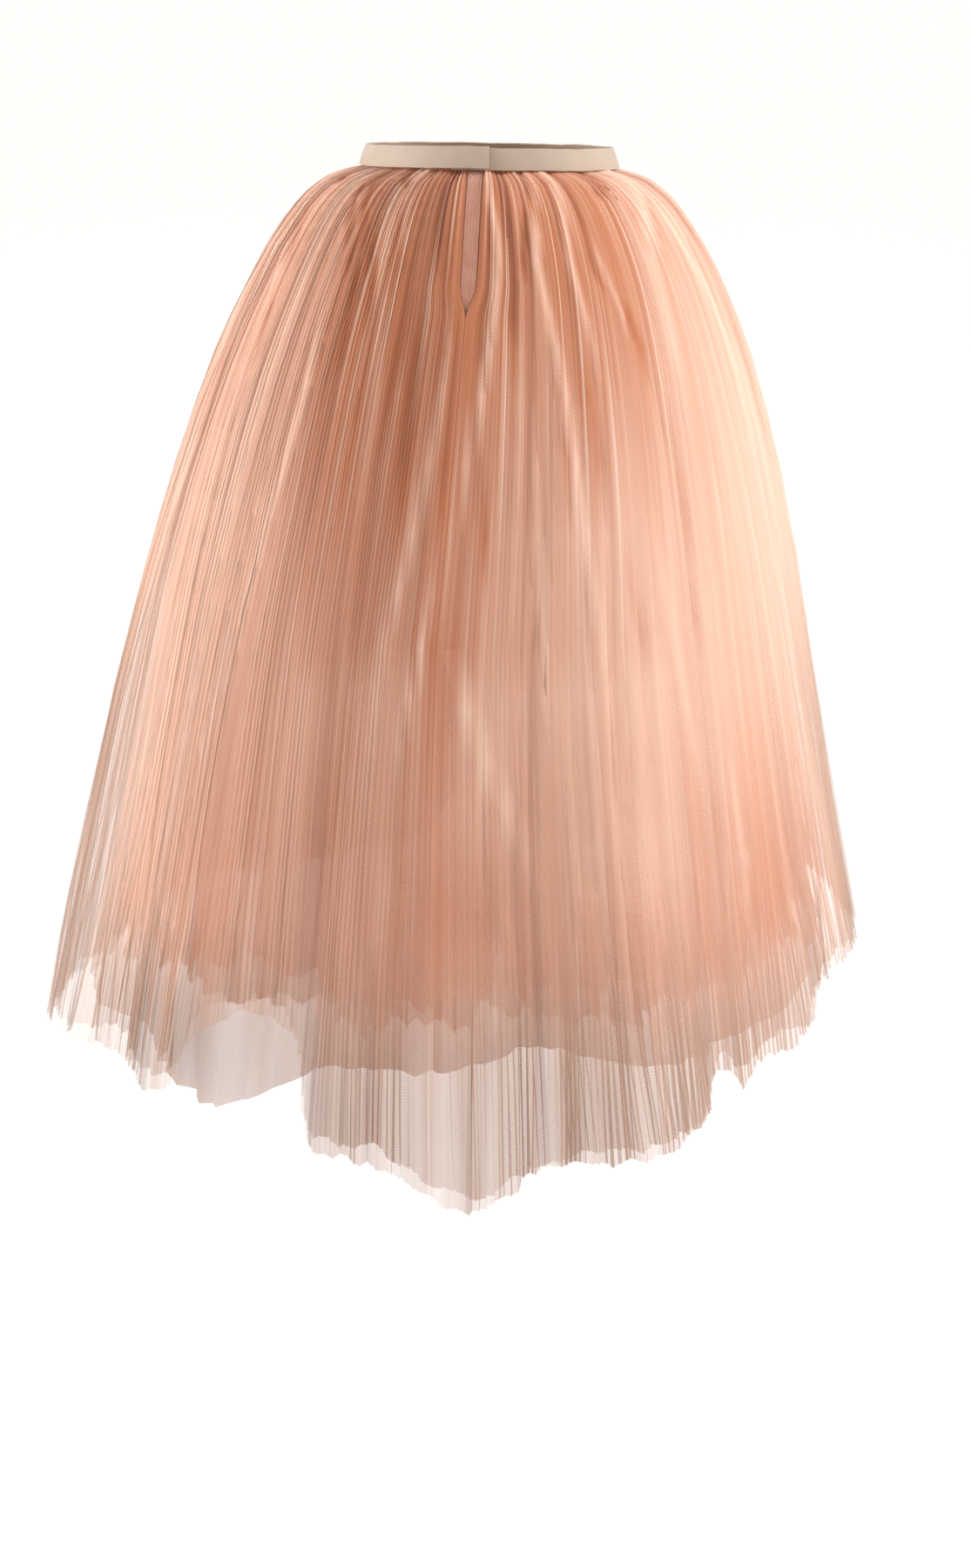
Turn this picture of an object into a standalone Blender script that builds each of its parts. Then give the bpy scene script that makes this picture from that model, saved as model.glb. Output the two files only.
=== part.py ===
"""A tulle skirt with a ribbon waistband, in the round form that it has when it is worn.

Metres, +Z up. The origin is the middle of the waist opening, halfway up the waistband.
The back, with its lapped closure, faces -Y. The wearer's right side is +X.
Angles go round the waist: 0 is the right side, 90 the centre front, -90 the centre back.
"""

import math
from bisect import bisect_right
from collections import namedtuple

import bmesh
import bpy
from mathutils import Vector

# Waistband: a ribbon that widens towards its foot and laps left over right at the centre back
BAND_HEIGHT = 0.016
BAND_WALL = 0.0016
BAND_TOP_HALF_WIDTH = 0.0974
BAND_FOOT_HALF_WIDTH = 0.1034
WAIST_DEPTH_TO_WIDTH = 0.86
BAND_LAP_ANGLE = 16
BAND_LAP_RAMP = 40
BAND_LAP_RISE = 0.0014
BAND_CROWN = 0.0005
BAND_COLUMNS = 66

# The waist line tips up at the back: its slope, and how far down the cloth the tip fades out
WAIST_TIP = 0.115
TIP_REACH = 0.30

# Seams
SEAM_GAP = 0.0004
TUCK = 0.006
CENTRE_BACK = -90

# Centre back opening: a lens between the two back panels, closed at its top by the placket
OPENING_HALF_WIDTH = 0.0062
OPENING_STRAIGHT = 0.100
OPENING_END = 0.190
OPENING_ASIDE = 0.0105
OPENING_DRIFT = 0.053
OPENING_DRIFT_END = 0.330
PLACKET_START = 0.0020
PLACKET_END = 0.097
PLACKET_WALL = 0.001

# The full length that the layers' growth is measured against, and how early the growth comes:
# a power below 1 spreads the layers and opens their pleats near the waist
FULL_FALL = 0.80
INSET_POWER = 0.7
SWING_POWER = 0.6

# How far above its hem a ruffled layer starts to ripple
RUFFLE_REACH = 0.09

# Steps for measuring the outline's slope, in metres down it and in degrees round it
FALL_STEP = 0.002
ANGLE_STEP = 1

# The outer net's outline: how far below the waist seam, the half sizes there, and how far its middle
# leans to the side
Section = namedtuple("Section", "fall half_width half_depth lean")
SKIRT_SECTIONS = (
    Section(-0.0060, 0.1000, 0.0860, 0.0),
    Section(0.0016, 0.1012, 0.0871, 0.0),
    Section(0.0040, 0.1085, 0.0930, 0.0),
    Section(0.0100, 0.1280, 0.1085, 0.0),
    Section(0.030, 0.1550, 0.1295, 0.0),
    Section(0.080, 0.1895, 0.1560, 0.0),
    Section(0.160, 0.2285, 0.1850, -0.0025),
    Section(0.270, 0.2675, 0.2135, -0.0060),
    Section(0.400, 0.3040, 0.2400, -0.0095),
    Section(0.560, 0.3450, 0.2695, -0.0110),
    Section(0.700, 0.3805, 0.2940, -0.0105),
    Section(0.830, 0.4120, 0.3150, -0.0090),
)
SLIP_SECTIONS = (
    Section(-0.006, 0.0920, 0.0780, 0.0),
    Section(0.000, 0.0935, 0.0792, 0.0),
    Section(0.040, 0.1080, 0.0910, 0.0),
    Section(0.110, 0.1290, 0.1070, 0.0),
    Section(0.200, 0.1440, 0.1190, 0.0),
    Section(0.350, 0.1530, 0.1270, 0.0),
)

# How far each layer falls, by the angle round the waist
Hem = namedtuple("Hem", "angle outer middle under slip")
HEMS = (
    Hem(-180, 0.800, 0.741, 0.698, 0.342),
    Hem(-158, 0.770, 0.748, 0.688, 0.340),
    Hem(-140, 0.738, 0.746, 0.670, 0.334),
    Hem(-130, 0.742, 0.760, 0.660, 0.329),
    Hem(-125, 0.668, 0.766, 0.656, 0.326),
    Hem(-114, 0.664, 0.730, 0.660, 0.319),
    Hem(-109, 0.757, 0.710, 0.672, 0.316),
    Hem(-99, 0.766, 0.700, 0.662, 0.310),
    Hem(-90, 0.812, 0.696, 0.658, 0.304),
    Hem(-78, 0.776, 0.678, 0.652, 0.298),
    Hem(-66, 0.767, 0.698, 0.658, 0.292),
    Hem(-58, 0.750, 0.710, 0.663, 0.287),
    Hem(-54, 0.708, 0.710, 0.664, 0.285),
    Hem(-49, 0.735, 0.710, 0.666, 0.283),
    Hem(-44, 0.718, 0.711, 0.668, 0.281),
    Hem(-36, 0.712, 0.698, 0.660, 0.278),
    Hem(-31, 0.672, 0.678, 0.652, 0.276),
    Hem(-14, 0.668, 0.658, 0.640, 0.272),
    Hem(12, 0.702, 0.678, 0.648, 0.274),
    Hem(60, 0.752, 0.708, 0.668, 0.292),
    Hem(110, 0.786, 0.728, 0.680, 0.318),
    Hem(150, 0.797, 0.738, 0.690, 0.336),
    Hem(180, 0.800, 0.741, 0.698, 0.342),
)

# Large soft folds that all the nets share. A positive depth stands out, a negative one sinks in
Fold = namedtuple("Fold", "angle half_width depth")
FOLDS = (
    Fold(-167, 9, 0.010),
    Fold(-149, 7, -0.012),
    Fold(-132, 8, 0.014),
    Fold(-114, 6, -0.010),
    Fold(-99, 7, 0.010),
    Fold(-81, 6, -0.011),
    Fold(-63, 8, 0.014),
    Fold(-45, 7, -0.010),
    Fold(-25, 9, 0.012),
    Fold(4, 10, -0.010),
    Fold(30, 9, 0.013),
    Fold(58, 11, -0.009),
    Fold(86, 10, 0.013),
    Fold(112, 9, -0.010),
    Fold(138, 10, 0.012),
    Fold(162, 7, -0.009),
)
FOLD_START = 0.06

# The cloth layers, from the outside in. The insets are how far a layer lies under the outline, and the
# swings are how far its pleats swing to each side, at the waist and at the full fall
Layer = namedtuple(
    "Layer",
    "name sections hem waist_inset hem_inset waist_swing hem_swing "
    "pleats columns_a_pleat rows folds ruffle wall colour roughness",
)
OUTER_ROWS = (-TUCK, 0.0016, 0.010, 0.030, 0.062, 0.100, 0.190, 0.310)
INNER_ROWS = (-TUCK, 0.0016, 0.010, 0.034, 0.100, 0.250)
SLIP_ROWS = (-TUCK, 0.0, 0.050, 0.140)
NET_WALL = 0.001
NET_BLUSH = (0.83, 0.53, 0.41)
NET_PEACH = (0.80, 0.46, 0.33)
NET_DEEP = (0.74, 0.38, 0.26)
SLIP_MAUVE = (0.52, 0.25, 0.19)
BAND_IVORY = (0.76, 0.64, 0.53)
LAYERS = (
    Layer(
        "outer_net", SKIRT_SECTIONS, "outer", 0.0, 0.0, 0.0009, 0.0060,
        84, 2, OUTER_ROWS, 1.0, 0.0, NET_WALL, NET_BLUSH, 0.7,
    ),
    Layer(
        "middle_net", SKIRT_SECTIONS, "middle", 0.0031, 0.0400, 0.0006, 0.0060,
        20, 4, INNER_ROWS, 1.0, 0.0, NET_WALL, NET_PEACH, 0.7,
    ),
    Layer(
        "under_net", SKIRT_SECTIONS, "under", 0.0058, 0.0680, 0.0007, 0.0070,
        48, 2, INNER_ROWS, 1.0, 0.006, NET_WALL, NET_DEEP, 0.75,
    ),
    Layer(
        "slip", SLIP_SECTIONS, "slip", 0.0, 0.0, 0.0, 0.0040,
        10, 4, SLIP_ROWS, 0.0, 0.0, NET_WALL, SLIP_MAUVE, 0.6,
    ),
)

# The panels of each layer, by the angles of their two side edges. None stands for the centre back line
Panel = namedtuple("Panel", "name start end share")
PANELS = (
    Panel("front", 0, 180, 0.5),
    Panel("back_left", 180, None, 0.25),
    Panel("back_right", None, 360, 0.25),
)


def smooth(value):
    """0 at 0 and below, 1 at 1 and above, with a soft start and end."""
    value = min(1.0, max(0.0, value))
    return value * value * (3 - 2 * value)


def along(rows, key, column, place):
    """The column's value at a place along the table, on a smooth curve through its rows."""
    keys = [getattr(row, key) for row in rows]
    values = [getattr(row, column) for row in rows]
    place = min(max(place, keys[0]), keys[-1])
    i = min(max(bisect_right(keys, place) - 1, 0), len(keys) - 2)

    def slope(j):
        before, after = max(j - 1, 0), min(j + 1, len(keys) - 1)
        return (values[after] - values[before]) / (keys[after] - keys[before])

    span = keys[i + 1] - keys[i]
    t = (place - keys[i]) / span
    return (
        values[i] * (1 + 2 * t) * (1 - t) ** 2
        + slope(i) * span * t * (1 - t) ** 2
        + values[i + 1] * t * t * (3 - 2 * t)
        + slope(i + 1) * span * t * t * (t - 1)
    )


def turned(angle):
    """The same angle from -180 up to 180."""
    return (angle + 180) % 360 - 180


def outline_point(sections, angle, fall):
    """A point of the plain outline, with no folds or pleats."""
    a = math.radians(angle)
    return Vector(
        (
            along(sections, "fall", "half_width", fall) * math.cos(a) + along(sections, "fall", "lean", fall),
            along(sections, "fall", "half_depth", fall) * math.sin(a),
            -BAND_HEIGHT / 2 - fall,
        )
    )


def outward(sections, angle, fall):
    """The outline's outward normal."""
    above = outline_point(sections, angle, max(sections[0].fall, fall - FALL_STEP))
    below = outline_point(sections, angle, min(sections[-1].fall, fall + FALL_STEP))
    before = outline_point(sections, angle - ANGLE_STEP, fall)
    after = outline_point(sections, angle + ANGLE_STEP, fall)
    return (above - below).cross(before - after).normalized()


def tipped(point, fall):
    """A point moved up or down with the waist line's tip."""
    point.z -= WAIST_TIP * point.y * (1 - smooth(fall / TIP_REACH))
    return point


def fold_depth(angle, fall):
    """How far the large folds move the cloth out, which grows from the hip to the hem."""
    total = 0.0
    for fold in FOLDS:
        away = abs(turned(angle - fold.angle)) / fold.half_width
        total += fold.depth * smooth(1 - away / 2)
    return total * smooth((fall - FOLD_START) / (FULL_FALL - FOLD_START))


def centre_back(fall):
    """How far the centre back line lies to the side of the middle: it starts to the left of it, beside the
    band's lap, and drifts further left as it falls."""
    return -OPENING_ASIDE - OPENING_DRIFT * min(max(fall, 0.0), OPENING_DRIFT_END)


def opening_half_width(fall):
    """Half the gap between the back panels: the opening's at the top, and a seam's below it."""
    closing = smooth((fall - OPENING_STRAIGHT) / (OPENING_END - OPENING_STRAIGHT))
    return OPENING_HALF_WIDTH + (SEAM_GAP / 2 - OPENING_HALF_WIDTH) * closing


def edge_angle(layer, side, fall):
    """The angle of the centre back edge of a back panel: side is -1 for the left panel and 1 for the right."""
    half_width = along(layer.sections, "fall", "half_width", fall)
    sideways = centre_back(fall) + side * opening_half_width(fall)
    return CENTRE_BACK + math.degrees(sideways / half_width)


def panel_angle(layer, panel, share, fall):
    """The angle of a column at a share of the way across a panel."""
    seam = math.degrees(SEAM_GAP / 2 / along(layer.sections, "fall", "half_depth", fall))
    start = edge_angle(layer, 1, fall) + 360 if panel.start is None else panel.start + seam
    end = edge_angle(layer, -1, fall) + 360 if panel.end is None else panel.end - seam
    return start + (end - start) * share


def growth(fall, power):
    """How far a layer has grown from its waist value to its full one."""
    return (max(fall, 0.0) / FULL_FALL) ** power


def cloth_point(layer, angle, fall, hem, wave):
    """A point of a layer. wave goes from -1 in a pleat's valley to 1 on its ridge."""
    inset = layer.waist_inset + (layer.hem_inset - layer.waist_inset) * growth(fall, INSET_POWER)
    swing = layer.waist_swing + (layer.hem_swing - layer.waist_swing) * growth(fall, SWING_POWER)
    ruffle = layer.ruffle * smooth(1 - (hem - fall) / RUFFLE_REACH)
    lift = (swing + ruffle) * wave - inset + layer.folds * fold_depth(angle, fall)
    return tipped(
        outline_point(layer.sections, angle, fall) + lift * outward(layer.sections, angle, fall), fall
    )


def pleat_wave(layer, column):
    """The wave's height at a column: each panel starts and ends in a valley, so its seams lie inwards."""
    return -math.cos(2 * math.pi * column / layer.columns_a_pleat)


def falls_at(layer, angle):
    """How far below the waist seam each row of a column lies, down to the hem."""
    hem = along(HEMS, "angle", layer.hem, turned(angle))
    last = layer.rows[-1]
    return [*layer.rows, (last + hem) / 2, hem]


def cloth_grid(layer, panel):
    """The panel's points, as a list of columns that each run from the waist to the hem."""
    count = round(layer.pleats * panel.share) * layer.columns_a_pleat
    grid = []
    for column in range(count + 1):
        share = column / count
        falls = falls_at(layer, panel_angle(layer, panel, share, FULL_FALL))
        points = []
        for fall in falls:
            angle = panel_angle(layer, panel, share, fall)
            points.append(cloth_point(layer, angle, fall, falls[-1], pleat_wave(layer, column)))
        grid.append(points)
    return grid


def sheet_mesh(name, grid):
    """An open sheet through a grid of columns, with its faces pointing out of the skirt."""
    mesh = bpy.data.meshes.new(name)
    sheet = bmesh.new()
    columns = [[sheet.verts.new(point) for point in column] for column in grid]
    for left, right in zip(columns, columns[1:]):
        for row in range(len(left) - 1):
            sheet.faces.new((left[row], left[row + 1], right[row + 1], right[row]))
    sheet.to_mesh(mesh)
    sheet.free()
    return mesh


def material(name, colour, roughness):
    """A plain cloth finish."""
    made = bpy.data.materials.new(name)
    made.use_nodes = True
    shader = made.node_tree.nodes["Principled BSDF"]
    shader.inputs["Base Color"].default_value = (*colour, 1)
    shader.inputs["Roughness"].default_value = roughness
    shader.inputs["Metallic"].default_value = 0
    made.diffuse_color = (*colour, 1)
    return made


def walled(name, grid, wall, finish, collection):
    """A named cloth wall: an open sheet, given its thickness inwards."""
    obj = bpy.data.objects.new(name, sheet_mesh(name, grid))
    collection.objects.link(obj)
    obj.data.materials.append(finish)
    solidify = obj.modifiers.new("wall", "SOLIDIFY")
    solidify.thickness = wall
    solidify.offset = -1
    solidify.use_even_offset = True
    solidify.use_quality_normals = True
    return obj


def band_point(angle, height, lift, rise):
    """A point of the waistband. height goes from -1 at its foot to 1 at its top."""
    share = (height + 1) / 2
    half_width = BAND_FOOT_HALF_WIDTH + (BAND_TOP_HALF_WIDTH - BAND_FOOT_HALF_WIDTH) * share
    lift += BAND_WALL + BAND_CROWN * (1 - height * height)
    a = math.radians(angle)
    point = Vector(
        (
            (half_width + lift) * math.cos(a),
            (half_width * WAIST_DEPTH_TO_WIDTH + lift) * math.sin(a),
            height * BAND_HEIGHT / 2 + rise,
        )
    )
    return tipped(point, 0)


def band_grid():
    """The waistband's outer face. It starts under the lap, goes once round, and ends over its own start."""
    start = CENTRE_BACK - BAND_LAP_ANGLE
    turn = 360 + BAND_LAP_ANGLE
    over = BAND_WALL + BAND_CROWN + SEAM_GAP
    grid = []
    for column in range(BAND_COLUMNS + 1):
        angle = start + turn * column / BAND_COLUMNS
        lapping = smooth((angle - start - turn + BAND_LAP_ANGLE) / BAND_LAP_RAMP + 1)
        rise = BAND_LAP_RISE * lapping
        grid.append([band_point(angle, height, over * lapping, rise) for height in (1, 0, -1)])
    return grid


def placket_grid(layer):
    """The placket strip, which fills the top of the centre back opening beside the panels' edges."""
    grid = []
    for side in (-1, 0, 1):
        column = []
        for fall in (PLACKET_START, 0.010, 0.030, 0.062, PLACKET_END):
            half_width = along(layer.sections, "fall", "half_width", fall)
            reach = opening_half_width(fall) - SEAM_GAP
            angle = CENTRE_BACK + math.degrees((centre_back(fall) + side * reach) / half_width)
            column.append(cloth_point(layer, angle, fall, FULL_FALL, -1))
        grid.append(column)
    return grid


def main():
    for obj in list(bpy.data.objects):
        bpy.data.objects.remove(obj)
    skirt = bpy.data.collections.new("tulle_skirt")
    bpy.context.scene.collection.children.link(skirt)

    for layer in LAYERS:
        finish = material(layer.name, layer.colour, layer.roughness)
        for panel in PANELS:
            name = f"{layer.name}_{panel.name}"
            walled(name, cloth_grid(layer, panel), layer.wall, finish, skirt)

    outer = LAYERS[0]
    placket = material("placket", outer.colour, outer.roughness)
    walled("back_placket", placket_grid(outer), PLACKET_WALL, placket, skirt)
    ribbon = material("waistband", BAND_IVORY, 0.6)
    walled("waistband", band_grid(), BAND_WALL, ribbon, skirt)


main()
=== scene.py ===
"""The looks of a tulle skirt: pleated, smooth and gathered nets, a slip, a placket and a ribbon band."""

import math

import bpy
import numpy as np
from bpy.props import FloatProperty, FloatVectorProperty, IntProperty, PointerProperty
from collections import namedtuple
from mathutils import Matrix, Vector


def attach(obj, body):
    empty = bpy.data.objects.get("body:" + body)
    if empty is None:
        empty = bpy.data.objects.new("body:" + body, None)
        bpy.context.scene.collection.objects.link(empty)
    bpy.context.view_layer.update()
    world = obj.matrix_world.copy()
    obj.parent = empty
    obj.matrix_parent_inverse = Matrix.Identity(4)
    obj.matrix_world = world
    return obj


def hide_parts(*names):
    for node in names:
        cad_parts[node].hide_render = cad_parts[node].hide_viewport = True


bl_info = {
    "name": "Tulle Skirt Looks",
    "version": (1, 0, 0),
    "blender": (4, 5, 0),
    "location": "View3D > Sidebar > Skirt",
    "description": "Builds the nets, slip, placket, waistband and stage of a layered tulle skirt",
    "category": "Add Mesh",
}

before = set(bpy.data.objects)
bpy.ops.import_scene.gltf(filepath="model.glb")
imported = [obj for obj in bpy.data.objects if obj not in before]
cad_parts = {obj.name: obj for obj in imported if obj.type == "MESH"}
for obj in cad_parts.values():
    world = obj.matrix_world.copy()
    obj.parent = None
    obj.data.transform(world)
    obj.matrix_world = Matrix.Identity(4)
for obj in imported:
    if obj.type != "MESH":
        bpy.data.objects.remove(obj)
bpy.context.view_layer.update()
BODY = "root"

# Waistband and centre back, at their real sizes. The opening is shut from a fall of 0.099 down, where the
# solids' closes only at 0.190, and the placket's top is tucked up behind the band
BAND_HEIGHT = 0.016
BAND_WALL = 0.0016
BAND_TOP_HALF_WIDTH = 0.0974
BAND_FOOT_HALF_WIDTH = 0.1034
WAIST_DEPTH_TO_WIDTH = 0.86
BAND_LAP_ANGLE = 16
BAND_LAP_RAMP = 40
BAND_LAP_RISE = 0.0014
BAND_CROWN = 0.0005
SEAM_GAP = 0.0004
TUCK = 0.006
CENTRE_BACK = -90
OPENING_HALF_WIDTH = 0.0062
OPENING_STRAIGHT = 0.078
OPENING_SHUT = 0.099
OPENING_ASIDE = 0.0105
OPENING_DRIFT = 0.053
OPENING_DRIFT_END = 0.330
OPENING_CROWDS = 6
PLACKET_START = -0.0045
PLACKET_END = 0.097
FULL_FALL = 0.80
INSET_POWER = 0.7
SWING_POWER = 0.6

# The waist line tips up at the back. Its slope, and how far down the cloth the tip fades out
WAIST_TIP = 0.115
TIP_REACH = 0.30

# The outer net's outline: how far below the waist seam, the half sizes there, and how far its middle leans
# to the side
Section = namedtuple("Section", "fall half_width half_depth lean")
SKIRT_SECTIONS = (
    Section(-0.0060, 0.1000, 0.0860, 0.0),
    Section(0.0016, 0.1012, 0.0871, 0.0),
    Section(0.0040, 0.1120, 0.0955, 0.0),
    Section(0.0100, 0.1300, 0.1100, 0.0),
    Section(0.030, 0.1550, 0.1295, 0.0),
    Section(0.080, 0.1895, 0.1560, 0.0),
    Section(0.160, 0.2285, 0.1850, -0.0025),
    Section(0.270, 0.2675, 0.2135, -0.0060),
    Section(0.400, 0.3040, 0.2400, -0.0095),
    Section(0.560, 0.3450, 0.2695, -0.0110),
    Section(0.700, 0.3805, 0.2940, -0.0105),
    Section(0.830, 0.4120, 0.3150, -0.0090),
)
SLIP_SECTIONS = (
    Section(-0.006, 0.0920, 0.0780, 0.0),
    Section(0.000, 0.0935, 0.0792, 0.0),
    Section(0.040, 0.1080, 0.0910, 0.0),
    Section(0.110, 0.1290, 0.1070, 0.0),
    Section(0.200, 0.1440, 0.1190, 0.0),
    Section(0.350, 0.1530, 0.1270, 0.0),
)

# How far each layer falls, by the angle round the waist
Hem = namedtuple("Hem", "angle outer middle under slip")
HEMS = (
    Hem(-180, 0.800, 0.741, 0.698, 0.342),
    Hem(-158, 0.770, 0.748, 0.688, 0.340),
    Hem(-140, 0.738, 0.746, 0.670, 0.334),
    Hem(-130, 0.742, 0.760, 0.660, 0.329),
    Hem(-125, 0.668, 0.766, 0.656, 0.326),
    Hem(-114, 0.664, 0.730, 0.660, 0.319),
    Hem(-109, 0.757, 0.710, 0.672, 0.316),
    Hem(-99, 0.766, 0.700, 0.662, 0.310),
    Hem(-90, 0.812, 0.696, 0.658, 0.304),
    Hem(-78, 0.776, 0.678, 0.652, 0.298),
    Hem(-66, 0.767, 0.698, 0.658, 0.292),
    Hem(-58, 0.750, 0.710, 0.663, 0.287),
    Hem(-54, 0.708, 0.710, 0.664, 0.285),
    Hem(-49, 0.735, 0.710, 0.666, 0.283),
    Hem(-44, 0.718, 0.711, 0.668, 0.281),
    Hem(-36, 0.712, 0.698, 0.660, 0.278),
    Hem(-31, 0.672, 0.678, 0.652, 0.276),
    Hem(-14, 0.668, 0.658, 0.640, 0.272),
    Hem(12, 0.702, 0.678, 0.648, 0.274),
    Hem(60, 0.752, 0.708, 0.668, 0.292),
    Hem(110, 0.786, 0.728, 0.680, 0.318),
    Hem(150, 0.797, 0.738, 0.690, 0.336),
    Hem(180, 0.800, 0.741, 0.698, 0.342),
)

# Large soft folds that all the nets share. A positive depth stands out, a negative one sinks in
Fold = namedtuple("Fold", "angle half_width depth")
FOLDS = (
    Fold(-167, 9, 0.010),
    Fold(-149, 7, -0.012),
    Fold(-132, 8, 0.014),
    Fold(-114, 6, -0.010),
    Fold(-99, 7, 0.010),
    Fold(-81, 6, -0.011),
    Fold(-63, 8, 0.014),
    Fold(-45, 7, -0.010),
    Fold(-25, 9, 0.012),
    Fold(4, 10, -0.010),
    Fold(30, 9, 0.013),
    Fold(58, 11, -0.009),
    Fold(86, 10, 0.013),
    Fold(112, 9, -0.010),
    Fold(138, 10, 0.012),
    Fold(162, 7, -0.009),
)
FOLD_START = 0.06

# Creases that the photo shows on the back, traced from it: how strongly each stands out (or sinks in, below
# zero), its half width, and its way down as an angle and a fall for each bend
Crease = namedtuple("Crease", "strength half_width way")
CREASES = (
    Crease(-0.8, 0.0053, ((-152.4, 0.039), (-149.2, 0.071))),
    Crease(0.5, 0.0060, (
        (-141.6, 0.015), (-138.0, 0.099), (-139.3, 0.200),
        (-139.2, 0.259), (-141.3, 0.354), (-140.0, 0.419),
    )),
    Crease(-1.0, 0.0060, ((-166.7, 0.002), (-143.1, 0.015))),
    Crease(0.9, 0.0027, (
        (-132.1, 0.023), (-129.5, 0.090), (-126.9, 0.156), (-129.3, 0.244), (-129.6, 0.305),
        (-132.1, 0.365), (-132.6, 0.424), (-134.0, 0.471), (-135.0, 0.519), (-135.6, 0.552),
    )),
    Crease(-0.9, 0.0027, ((-138.4, 0.005), (-122.4, 0.077), (-120.4, 0.148))),
    Crease(-0.7, 0.0033, ((-134.8, 0.002), (-117.7, 0.070), (-115.2, 0.128))),
    Crease(0.5, 0.0060, ((-119.9, 0.013), (-113.9, 0.093), (-110.9, 0.162), (-112.0, 0.240))),
    Crease(-0.9, 0.0040, ((-124.8, 0.000), (-116.3, 0.016))),
    Crease(0.5, 0.0033, ((-116.1, 0.004), (-110.9, 0.057))),
    Crease(-1.0, 0.0040, ((-103.8, 0.006), (-102.3, 0.056), (-102.2, 0.074))),
    Crease(-0.6, 0.0047, ((-104.5, 0.080), (-103.8, 0.132), (-103.7, 0.201), (-103.4, 0.262))),
    Crease(0.4, 0.0033, ((-106.1, 0.121), (-107.6, 0.179), (-108.2, 0.263))),
    Crease(0.8, 0.0040, (
        (-99.3, 0.068), (-97.3, 0.120), (-98.7, 0.183),
        (-100.5, 0.236), (-102.7, 0.294), (-104.7, 0.369),
    )),
    Crease(1.0, 0.0033, (
        (-90.5, 0.005), (-87.2, 0.050), (-88.5, 0.102), (-90.8, 0.164),
        (-93.7, 0.217), (-96.3, 0.285), (-99.3, 0.367), (-102.1, 0.460),
    )),
    Crease(-1.0, 0.0053, ((-85.9, 0.003), (-84.2, 0.055), (-84.0, 0.113), (-84.3, 0.136))),
    Crease(-0.8, 0.0027, ((-77.4, 0.003), (-81.5, 0.061), (-81.9, 0.079))),
    Crease(0.8, 0.0033, (
        (-75.4, 0.005), (-78.2, 0.061), (-75.6, 0.113), (-73.0, 0.165),
        (-71.5, 0.230), (-69.9, 0.294), (-68.9, 0.342), (-68.2, 0.391),
    )),
    Crease(-0.6, 0.0027, ((-76.5, 0.017), (-76.1, 0.041))),
    Crease(0.8, 0.0033, ((-67.6, 0.002), (-70.0, 0.061), (-67.0, 0.120), (-66.0, 0.143))),
    Crease(-0.9, 0.0027, ((-63.6, 0.009), (-64.1, 0.068), (-61.1, 0.088))),
    Crease(-0.8, 0.0033, ((-58.4, 0.083), (-54.8, 0.131), (-53.7, 0.152))),
    Crease(0.6, 0.0027, ((-64.3, 0.035), (-58.9, 0.097), (-56.5, 0.122))),
    Crease(-1.0, 0.0060, ((-47.0, 0.003), (-55.5, 0.023))),
    Crease(0.5, 0.0067, ((-29.5, 0.000), (-45.3, 0.051), (-46.3, 0.106), (-46.0, 0.173))),
    Crease(-0.5, 0.0033, ((-31.4, 0.016), (-43.1, 0.076))),
    Crease(-0.9, 0.0053, ((-69.9, 0.137), (-67.9, 0.189), (-67.6, 0.213))),
    Crease(-0.8, 0.0020, ((-74.7, 0.165), (-73.5, 0.218), (-73.2, 0.236))),
    Crease(0.5, 0.0027, ((-81.2, 0.142), (-79.4, 0.211), (-79.2, 0.259), (-78.6, 0.332), (-78.6, 0.401))),
    Crease(-0.8, 0.0027, ((-90.3, 0.211), (-87.7, 0.262))),
    Crease(-0.6, 0.0040, ((-51.5, 0.177), (-50.3, 0.233), (-49.5, 0.273))),
    Crease(-0.5, 0.0027, ((-40.5, 0.163), (-41.0, 0.226))),
    Crease(0.4, 0.0053, ((-57.8, 0.217), (-57.5, 0.267), (-54.6, 0.380), (-52.0, 0.494))),
    Crease(-0.6, 0.0040, ((-64.4, 0.264), (-61.2, 0.347))),
    Crease(-0.4, 0.0033, ((-51.1, 0.278), (-49.8, 0.356))),
    Crease(-1.6, 0.0045, ((-94.7, 0.079), (-95.0, 0.148), (-95.8, 0.203), (-97.5, 0.260))),
    Crease(0.7, 0.0060, ((-94.0, 0.330), (-79.5, 0.516))),
    Crease(-0.6, 0.0053, ((-95.0, 0.359), (-94.6, 0.436))),
    Crease(0.5, 0.0033, ((-45.6, 0.427), (-45.4, 0.488), (-45.0, 0.543), (-45.9, 0.605))),
    Crease(-0.5, 0.0047, ((-49.9, 0.444), (-49.6, 0.505), (-49.6, 0.575))),
    Crease(0.4, 0.0053, (
        (-155.9, 0.233), (-155.8, 0.336), (-152.3, 0.392),
        (-150.7, 0.460), (-149.5, 0.539), (-150.0, 0.624),
    )),
    Crease(-0.4, 0.0040, ((-145.1, 0.293), (-144.3, 0.358), (-142.9, 0.424))),
    Crease(-0.3, 0.0053, ((-109.3, 0.344), (-109.1, 0.407), (-109.7, 0.480), (-110.7, 0.540))),
    Crease(0.3, 0.0060, ((-99.3, 0.480), (-101.2, 0.540), (-101.9, 0.593))),
    Crease(-0.4, 0.0040, ((-70.0, 0.440), (-69.2, 0.499), (-69.0, 0.559))),
)
# How far the creases lift the cloth; how strongly they change its colour, painted light on the raised ones
# and painted shade in the sinking ones; how far they spread; and how soon their ends fade
CREASE_LIFT = 0.0016
CREASE_PAINTED_SHADING = 0.60
CREASE_SPREAD = 1.05
CREASE_FADE = 0.3

# How much thinner the cloth looks at the sides, and how much paler it is painted there: painted light from
# the lights at the sides
SIDE_THINNING = 0.58
SIDE_PAINTED_LIGHT = 0.34

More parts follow.
